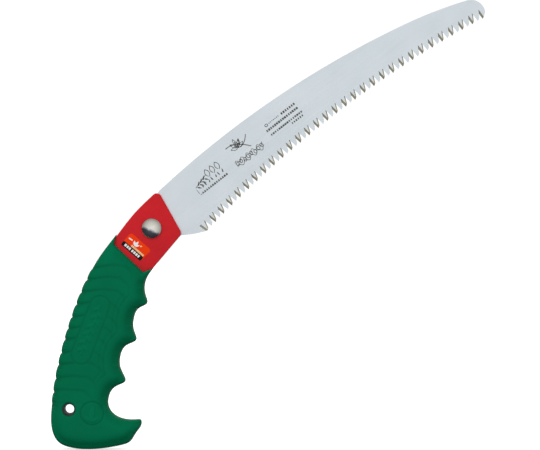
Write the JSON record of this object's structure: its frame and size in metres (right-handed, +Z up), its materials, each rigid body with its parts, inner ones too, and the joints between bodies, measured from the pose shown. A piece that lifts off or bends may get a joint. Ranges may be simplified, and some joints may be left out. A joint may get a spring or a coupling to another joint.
{
  "type": "pruning saw",
  "caption": "Curved pull-cut pruning saw: exchangeable toothed blade clamped in a painted holder, with a hooked rubber finger grip and a hanging hole.",
  "frame": {"origin": "centre of the hanging hole in the grip, on the blade's mid-plane", "axes": "+Z up, +X forward from the grip to the blade's teeth side, +Y through the thickness from the saw's right side to its left; the hanging hole runs along Y"},
  "size_m": [0.2615, 0.025, 0.2706],
  "materials": {
    "blade_steel": "satin ground",
    "holder_paint": "semi-gloss powder coat",
    "bright_plating": "polished plating",
    "plain_steel": "as rolled",
    "core_plastic": "moulded",
    "green_rubber": "matt moulded",
    "bush_plastic": "moulded",
    "label_film": "printed film"
  },
  "bodies": {
    "saw": {"blade": "blade_steel", "holder_plate_right": "holder_paint", "holder_plate_left": "holder_paint", "packing_plate": "holder_paint", "stop_pin": "plain_steel", "frame_rivets": "plain_steel", "cap_nut": "bright_plating", "grip_core": "core_plastic", "rubber_grip": "green_rubber", "lanyard_bush": "bush_plastic", "label": "label_film"},
    "clamp_washers": {"flat_washer": "bright_plating", "spring_washer": "plain_steel"},
    "clamp_screw": {"clamp_screw": "bright_plating"}
  },
  "joints": [
    {"name": "screw_travel", "type": "slide", "parent": "saw", "child": "clamp_washers", "axis": [0, 1, 0], "range_m": [0, 0.0064]},
    {"name": "screw_turn", "type": "hinge", "parent": "clamp_washers", "child": "clamp_screw", "pos_m": [0.0493, 0, 0.1086], "axis": [0, 1, 0], "range_deg": [0, 2881]}
  ],
  "couplings": [
    {"joint": "screw_turn", "follows": "screw_travel", "rad_per_m": 7854}
  ]
}
